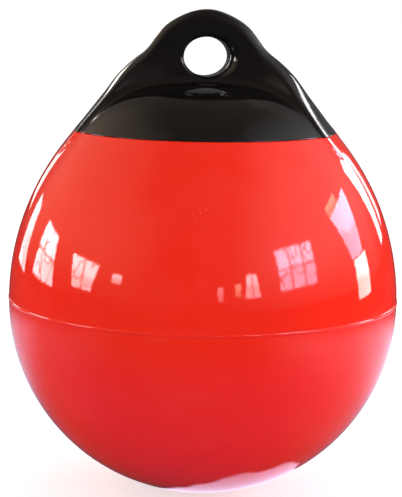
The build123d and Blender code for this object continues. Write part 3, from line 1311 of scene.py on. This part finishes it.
@dataclass(frozen=True)
class Window:
    """A window of the room: one lamp, seen from the buoy, whose light is drawn as panes and twigs.

    Attributes:
        azimuth: Direction from the front, in degrees, positive to the right.
        elevation: Direction above the level, in degrees.
        width: Width in degrees.
        height: Height in degrees.
        panes: Columns and rows of panes.
        radiance: Brightness of the panes.
        colour: Colour of the light.
        head: Share of the width at the head.
        foot: Share of the width at the foot.
        twigs: Darkness of the twigs before it.
    """

    azimuth: float
    elevation: float
    width: float
    height: float
    panes: tuple[int, int] = (1, 1)
    radiance: float = 9.0
    colour: Colour = (1.0, 0.96, 0.98)
    head: float = 1.0
    foot: float = 1.0
    twigs: float = 0.0

    def lamp(self, far: float) -> bpy.types.Light:
        """The window's lamp.

        Args:
            far: Distance of the lamp from the buoy.

        Returns:
            The lamp's data.
        """
        data = bpy.data.lights.new("window", "AREA")
        data.shape = "RECTANGLE"
        angles = (self.width, self.height)
        data.size, data.size_y = (2 * far * math.tan(math.radians(a) / 2) for a in angles)
        data.energy = self.radiance * math.pi * data.size * data.size_y
        data.diffuse_factor = 0.2
        data.use_nodes = True
        g = Graph(data.node_tree)
        u, v, _ = g.axes(g.node("ShaderNodeNewGeometry").outputs["Parametric"])
        light = g.node("ShaderNodeEmission", {"Color": (*self.colour, 1.0),
                                              "Strength": self.drawing(g, u, v)})
        g.node("ShaderNodeOutputLight", {0: light.outputs[0]})
        return data

    def drawing(self, g: Graph, u: Value, v: Value) -> Value:
        """Brightness over the window.

        Args:
            g: The lamp's graph.
            u: Place across the window, from 0 to 1.
            v: Place up the window, from 0 to 1.

        Returns:
            The brightness, 1 on a clear pane.
        """
        half = 0.5 * (self.foot + v * (self.head - self.foot))
        light = g.step(half - g.math("ABSOLUTE", u - 0.5), 0.0, 0.05)
        for across, count in zip((u, v), self.panes):
            if count > 1:
                part = g.math("ABSOLUTE", g.math("FRACT", across * float(count)) - 0.5)
                light = light * (0.35 + 0.65 * g.step(0.5 - part, 0.02 * count, 0.04 * count))
        place = g.node("ShaderNodeCombineXYZ", {0: u * (self.width / TWIG_SPAN),
                                                1: v * (self.height / TWIG_SPAN),
                                                2: self.azimuth / WINDOW_SEED})
        cloud = g.noise(place.outputs[0], 1.6, 1.0)
        twig = g.math("ABSOLUTE", g.noise(place.outputs[0], 2.0, 1.0, 0.3) - 0.5)
        light = light * (1.0 - self.twigs * (1.0 - g.step(twig, 0.010, 0.026)))
        return light * (0.65 + 0.45 * g.step(v + (cloud - 0.5) * 0.6, 0.4, 0.65))


# Evening light of the high windows on the right
LILAC: Colour = (0.92, 0.72, 1.0)
# Azimuth, elevation, width and height in degrees, then panes, brightness and colour
WINDOWS = (
    Window(-129, 4, 14, 14, radiance=7.0, head=0.55, twigs=0.7),
    Window(-148, 13, 8, 22, (2, 1), 5.0, (1.0, 0.94, 0.86)),
    Window(-101, 7, 23, 15.5, (1, 2), 15.0, head=0.65, twigs=0.8),
    Window(-67.5, 8.5, 21, 11, (2, 1), 15.0, (1.0, 0.92, 0.92), foot=0.7, twigs=0.6),
    Window(-44.5, 10.3, 6, 3.6, radiance=11.0),
    Window(109, 17, 24, 17, radiance=12.0, colour=LILAC, foot=0.5),
    Window(103, 27, 13, 4, radiance=8.0, colour=(1.0, 0.55, 0.35)),
    Window(110.5, 1.5, 13, 13, radiance=14.0, colour=(1.0, 0.98, 0.90)),
    Window(143, 12, 14, 20, radiance=10.0, foot=0.4),
    Window(153, 13, 6, 22, radiance=5.0),
    Window(61, 15.5, 25, 17, (3, 2), 14.0, LILAC, twigs=0.8),
    Window(32.5, 10.5, 9.5, 9.5, (2, 1), 11.0, (1.0, 0.88, 0.96), head=0.6, twigs=0.5),
    Window(24.5, 9, 3, 5, radiance=6.0, colour=(1.0, 0.75, 0.5)),
    Window(15, 7.5, 3, 6, radiance=4.0),
)


@dataclass
class Studio:
    """Floor, room, windows and camera, placed as the photograph shows them.

    Attributes:
        centre: Centre of the ball.
        floor_z: Height of the floor.
        distance: Distance of the camera and of the windows from the ball's centre.
        azimuth: Camera's direction, in degrees, positive to the right.
        elevation: Camera's height above the level, in degrees.
        roll: Camera's turn about its own axis, in degrees.
        lens: Focal length in millimetres, for the sensor's 36 mm on the photograph's long side.
        centre_px: Where the ball's centre lands in the photograph.
        fill: Light of the room on the object.
        shade: How much less of it comes from the sides.
    """

    centre: Vector
    floor_z: float
    distance: tuple[float, float] = (1.215, 2.5)
    azimuth: float = 5.0
    elevation: float = 11.1
    roll: float = 0.9
    lens: float = 112.9
    centre_px: tuple[float, float] = (202.75, 298.0)
    fill: float = 0.78
    shade: float = 0.36

    def towards(self, azimuth: float, elevation: float) -> Vector:
        """Unit direction from the ball's centre."""
        a, e = math.radians(azimuth), math.radians(elevation)
        return Vector((math.sin(a) * math.cos(e), -math.cos(a) * math.cos(e), math.sin(e)))

    def camera(self) -> None:
        """Camera that puts the ball's centre on its place in the photograph."""
        back = self.towards(self.azimuth, self.elevation)
        focal = self.lens / 36.0 * PHOTO_H
        aim = Vector(((self.centre_px[0] - PHOTO_W / 2) / focal,
                      -(self.centre_px[1] - PHOTO_H / 2) / focal, -1.0)).normalized()
        offset = Vector((0, 0, -1)).rotation_difference(aim)
        roll = Quaternion((0, 0, 1), math.radians(self.roll))
        turn = (-back).to_track_quat("-Z", "Y") @ roll @ offset.inverted()
        data = bpy.data.cameras.new("camera")
        data.lens, data.sensor_width = self.lens, 36.0
        data.clip_start, data.clip_end = 0.05, 100.0
        cam = bpy.data.objects.new("camera", data)
        cam.location = self.centre + back * self.distance[0]
        cam.rotation_mode = "QUATERNION"
        cam.rotation_quaternion = turn
        bpy.context.scene.collection.objects.link(cam)
        bpy.context.scene.camera = cam

    def windows(self) -> None:
        """Lamps that mirror in the skin as the room's windows do."""
        for window in WINDOWS:
            back = self.towards(window.azimuth, window.elevation)
            lamp = bpy.data.objects.new("window", window.lamp(self.distance[1]))
            lamp.location = self.centre + back * self.distance[1]
            lamp.rotation_mode = "QUATERNION"
            lamp.rotation_quaternion = back.to_track_quat("Z", "Y")
            lamp.visible_camera = False
            bpy.context.scene.collection.objects.link(lamp)

    def room(self) -> None:
        """World: white behind the object, an even fill, and a dim room in reflections."""
        world = bpy.data.worlds.new("room")
        world.use_nodes = True
        bpy.context.scene.world = world
        g = Graph(world.node_tree)
        # Limits are parts of the unit direction in which a ray leaves
        look = g.node("ShaderNodeTexCoord").outputs["Generated"]
        x, y, z = g.axes(look)
        rays = g.node("ShaderNodeLightPath")
        edges = g.step(g.noise(look, 1.5, 2.0), 0.49, 0.53)
        dim = g.blend(g.step(z, 0.2, 0.9), (0.10, 0.07, 0.07), (0.16, 0.13, 0.10))
        dim = g.blend(edges * 0.12, dim, (0.9, 0.8, 0.7))
        wall = g.blend(g.step(x, -0.2, 0.2), (0.98, 0.74, 0.56), (1.14, 1.14, 1.18))
        side = g.step(g.math("ABSOLUTE", x), 0.25, 0.95) * g.step(z, -0.1, 0.4)
        mirrored = g.blend(side, dim, wall)
        mirrored = g.blend(g.step(y, 0.6, 0.95), mirrored, (0.12, 0.12, 0.13))
        fill = self.fill * (1.0 - self.shade * g.step(g.math("ABSOLUTE", x), 0.3, 1.0))
        even = g.node("ShaderNodeCombineColor", {0: fill, 1: fill, 2: fill}).outputs[0]
        lit = g.blend(g.value(rays, "Is Diffuse Ray"), mirrored, even)
        shown = g.math("MAXIMUM", g.value(rays, "Is Camera Ray"), g.value(rays, "Is Transmission Ray"))
        final = g.blend(shown, lit, (1.0, 1.0, 1.0))
        light = g.node("ShaderNodeBackground", {"Color": final, "Strength": 1.0})
        g.node("ShaderNodeOutputWorld", {"Surface": light.outputs[0]})

    def floor(self) -> bpy.types.Object:
        """Pale floor under the object.

        Returns:
            The floor's object.
        """
        mesh = bpy.data.meshes.new("floor")
        half = 20.0
        corners = [(-half, -half), (half, -half), (half, half), (-half, half)]
        mesh.from_pydata([(x, y, self.floor_z) for x, y in corners], [], [(0, 1, 2, 3)])
        mesh.materials.append(StudioFloor().build())
        return make_object("floor", mesh)

    def build(self) -> None:
        """Makes the whole studio and sets its view transform."""
        self.camera()
        self.windows()
        self.room()
        self.floor()
        settings = bpy.context.scene.view_settings
        settings.view_transform = "Standard"


@dataclass
class Buoy:
    """The whole buoy: its finishes, skins and small parts.

    Attributes:
        form: The buoy's outside.
        finishes: Finish of each slot.
    """

    form: BuoyForm = field(default_factory=BuoyForm)
    finishes: dict[Slot, bpy.types.Material] = field(default_factory=dict)

    def dress(self) -> None:
        """Makes the finishes and gives the small CAD nodes theirs."""
        self.finishes = {
            Slot.FLOAT: MouldedVinyl("float_vinyl", (0.83, 0.024, 0.009), (0.80, 0.019, 0.007),
                                     (0.85, 0.25, 0.22)).build(),
            Slot.CAP: MouldedVinyl("cap_vinyl", (0.0045, 0.0042, 0.0045), (0.007, 0.006, 0.006),
                                   (0.04, 0.037, 0.034), gloss=0.07, peel=0.00004, seed=3.1).build(),
            Slot.VALVE: HardPlastic("valve_body", (0.020, 0.020, 0.022), (0.05, 0.05, 0.05)).build(),
            Slot.PLUG: HardPlastic("valve_plug", (0.74, 0.73, 0.69), (0.58, 0.56, 0.51), 0.3).build(),
            Slot.SEAL: HardPlastic("valve_seal", (0.02, 0.02, 0.02), (0.05, 0.05, 0.05), 0.6).build(),
        }
        nodes = {"valve_insert": Slot.VALVE, "valve_plug": Slot.PLUG, "valve_seal": Slot.SEAL}
        for name, slot in nodes.items():
            for part in cad_objects(name):
                part.data.materials.clear()
                part.data.materials.append(self.finishes[slot])

    def build(self) -> None:
        """Makes each piece, hangs it on the root body and reports it."""
        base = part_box("float_body")[0][2] + self.form.ball_r
        vinyl, black = self.finishes[Slot.FLOAT], self.finishes[Slot.CAP]
        pieces = (
            (FloatBody(self.form, base, vinyl).build(), Slot.FLOAT, "float_body"),
            (RopeEyeCap(self.form, base, black).build(), Slot.CAP, "rope_eye_cap"),
            (MouldSeam(self.form, base, vinyl).build(), Slot.FLOAT, ""),
        )
        for piece, slot, node in pieces:
            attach(piece, "root")
            if node:
                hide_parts(node)
            LOG.info("%s: %d faces", piece.name, len(piece.data.polygons))


def cad_objects(node: str) -> list[bpy.types.Object]:
    """The objects of one CAD node."""
    return [o for o in bpy.data.objects if o.get("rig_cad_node") == node]


def main() -> None:
    """Builds the buoy and the studio in order."""
    logging.basicConfig(level=logging.INFO, format="%(message)s")
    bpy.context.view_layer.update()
    buoy = Buoy()
    buoy.dress()
    buoy.build()
    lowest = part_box("float_body")[0][2]
    Studio(Vector((0, 0, lowest + buoy.form.ball_r)), lowest).build()


if __name__ == "__main__":
    main()
